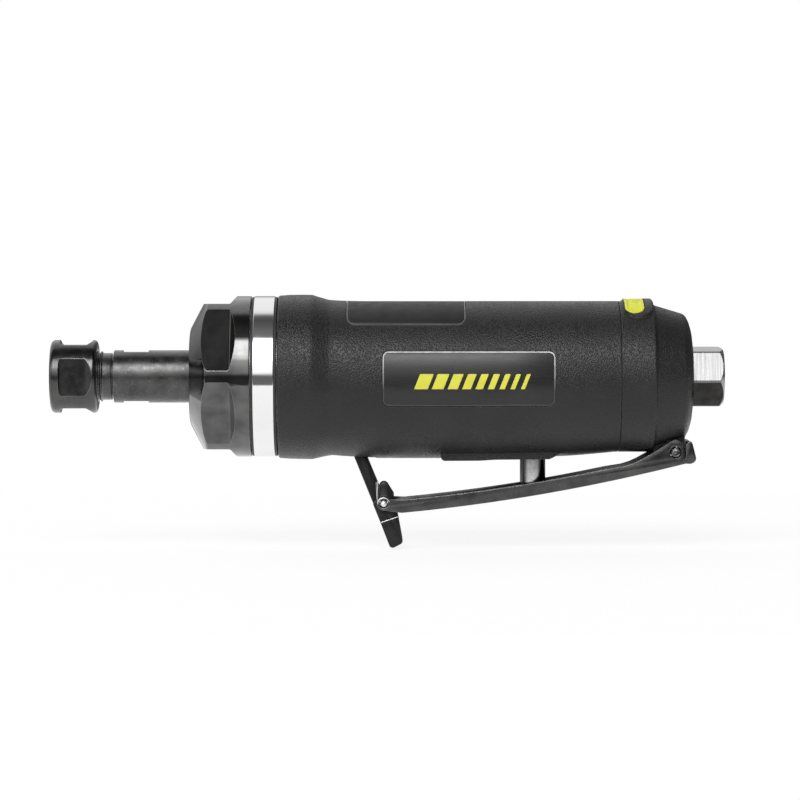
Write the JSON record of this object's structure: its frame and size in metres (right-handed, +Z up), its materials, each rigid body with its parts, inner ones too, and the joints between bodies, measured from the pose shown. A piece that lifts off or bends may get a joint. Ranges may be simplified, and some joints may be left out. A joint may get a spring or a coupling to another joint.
{
  "type": "die grinder",
  "caption": "Straight air die grinder: front collet spindle, coned hex clamp nut, textured grip, lever throttle with lock-off tab, hex air inlet.",
  "frame": {"origin": "under the middle of the tool: halfway along it, in its middle plane, level with its lowest point, the tip of the lock tab; the spindle axis is 45.5 mm above", "axes": "+X along the spindle from the collet nut to the air inlet, +Z up with the throttle lever below, Y across the tool"},
  "size_m": [0.179, 0.0442, 0.0674],
  "materials": {
    "black_oxide": "black oxide on machined steel, soft highlights, scuffed",
    "polished_chrome": "polished",
    "bright_steel": "turned and milled, bright",
    "bearing_steel": "ground",
    "composite": "fine pebble texture, satin",
    "pad_rubber": "fine grain, dull",
    "plate": "smooth satin with a printed stripe pattern",
    "badge_yellow": "glossy, moulded",
    "cast_alloy": "machined alloy",
    "brass": "machined",
    "seal_rubber": "smooth",
    "felt": "pressed felt",
    "phenolic": "laminated resin",
    "spring_steel": "drawn wire and sheet"
  },
  "bodies": {
    "tool_body": {"housing": "composite", "top_pad": "pad_rubber", "side_plate_near": "plate", "side_plate_far": "plate", "clamp_nut": "black_oxide", "trim_ring": "polished_chrome", "dust_seal": "felt", "wave_washer": "spring_steel", "front_bearing_outer": "bearing_steel", "rear_bearing_outer": "bearing_steel", "front_end_plate": "cast_alloy", "rear_end_plate": "cast_alloy", "cylinder": "bearing_steel", "cylinder_dowel": "bright_steel", "motor_case": "cast_alloy", "backhead": "cast_alloy", "pin_bushing": "brass", "valve_seat": "seal_rubber", "inlet_bushing": "bright_steel", "inlet_o_ring": "seal_rubber", "inlet_screen": "brass", "rear_cap": "composite", "badge_insert": "badge_yellow", "cap_gasket": "seal_rubber", "muffler": "felt", "lever_pin": "bright_steel"},
    "spindle": {"rotor": "bright_steel", "vane_1": "phenolic", "vane_2": "phenolic", "vane_3": "phenolic", "vane_4": "phenolic", "vane_5": "phenolic", "collet_body": "black_oxide", "spindle_spacer": "bright_steel", "front_bearing_inner": "bearing_steel", "rear_bearing_inner": "bearing_steel"},
    "front_ball_set": {"front_cage": "brass", "front_ball_1": "bearing_steel", "front_ball_2": "bearing_steel", "front_ball_3": "bearing_steel", "front_ball_4": "bearing_steel", "front_ball_5": "bearing_steel", "front_ball_6": "bearing_steel"},
    "rear_ball_set": {"rear_cage": "brass", "rear_ball_1": "bearing_steel", "rear_ball_2": "bearing_steel", "rear_ball_3": "bearing_steel", "rear_ball_4": "bearing_steel", "rear_ball_5": "bearing_steel", "rear_ball_6": "bearing_steel"},
    "collet": {"collet": "spring_steel"},
    "collet_nut": {"collet_nut": "black_oxide"},
    "lever": {"lever": "black_oxide", "lock_pin": "bright_steel"},
    "lock_tab": {"lock_tab": "black_oxide", "lock_spring": "spring_steel"},
    "throttle_pin": {"throttle_pin": "polished_chrome", "pin_o_ring": "seal_rubber"},
    "tilt_valve": {"tilt_valve": "brass", "valve_spring": "spring_steel"}
  },
  "joints": [
    {"name": "spindle_spin", "type": "hinge", "parent": "tool_body", "child": "spindle", "pos_m": [-0.0895, 0, 0.0455], "axis": [1, 0, 0], "continuous": true},
    {"name": "front_balls_turn", "type": "hinge", "parent": "tool_body", "child": "front_ball_set", "pos_m": [-0.0384, 0, 0.0455], "axis": [1, 0, 0], "continuous": true},
    {"name": "rear_balls_turn", "type": "hinge", "parent": "tool_body", "child": "rear_ball_set", "pos_m": [0.0121, 0, 0.0455], "axis": [1, 0, 0], "continuous": true},
    {"name": "collet_slide", "type": "slide", "parent": "spindle", "child": "collet", "axis": [-1, 0, 0], "range_m": [0, 0.0015]},
    {"name": "collet_nut_turn", "type": "hinge", "parent": "collet", "child": "collet_nut", "pos_m": [-0.0895, 0, 0.0455], "axis": [-1, 0, 0], "range_deg": [0, 540]},
    {"name": "lever_swing", "type": "hinge", "parent": "tool_body", "child": "lever", "pos_m": [0.0765, 0, 0.02555], "axis": [0, 1, 0], "range_deg": [0, 5.2]},
    {"name": "lock_tab_fold", "type": "hinge", "parent": "lever", "child": "lock_tab", "pos_m": [-0.00095, 0, 0.01193], "axis": [0, 1, 0], "range_deg": [-52.5, 0]},
    {"name": "throttle_pin_slide", "type": "slide", "parent": "tool_body", "child": "throttle_pin", "axis": [0, 0, 1], "range_m": [0, 0.0036]},
    {"name": "tilt_valve_rock", "type": "hinge", "parent": "tool_body", "child": "tilt_valve", "pos_m": [0.0593, 0, 0.0409], "axis": [0, 1, 0], "range_deg": [0, 11]}
  ],
  "couplings": [
    {"joint": "front_balls_turn", "follows": "spindle_spin", "ratio": 0.4},
    {"joint": "rear_balls_turn", "follows": "spindle_spin", "ratio": 0.41},
    {"joint": "collet_nut_turn", "follows": "collet_slide", "rad_per_m": 6283.2},
    {"joint": "lock_tab_fold", "follows": "lever_swing", "ratio": -10},
    {"joint": "throttle_pin_slide", "follows": "lever_swing", "m_per_rad": 0.0388},
    {"joint": "tilt_valve_rock", "follows": "lever_swing", "ratio": 2.08}
  ]
}
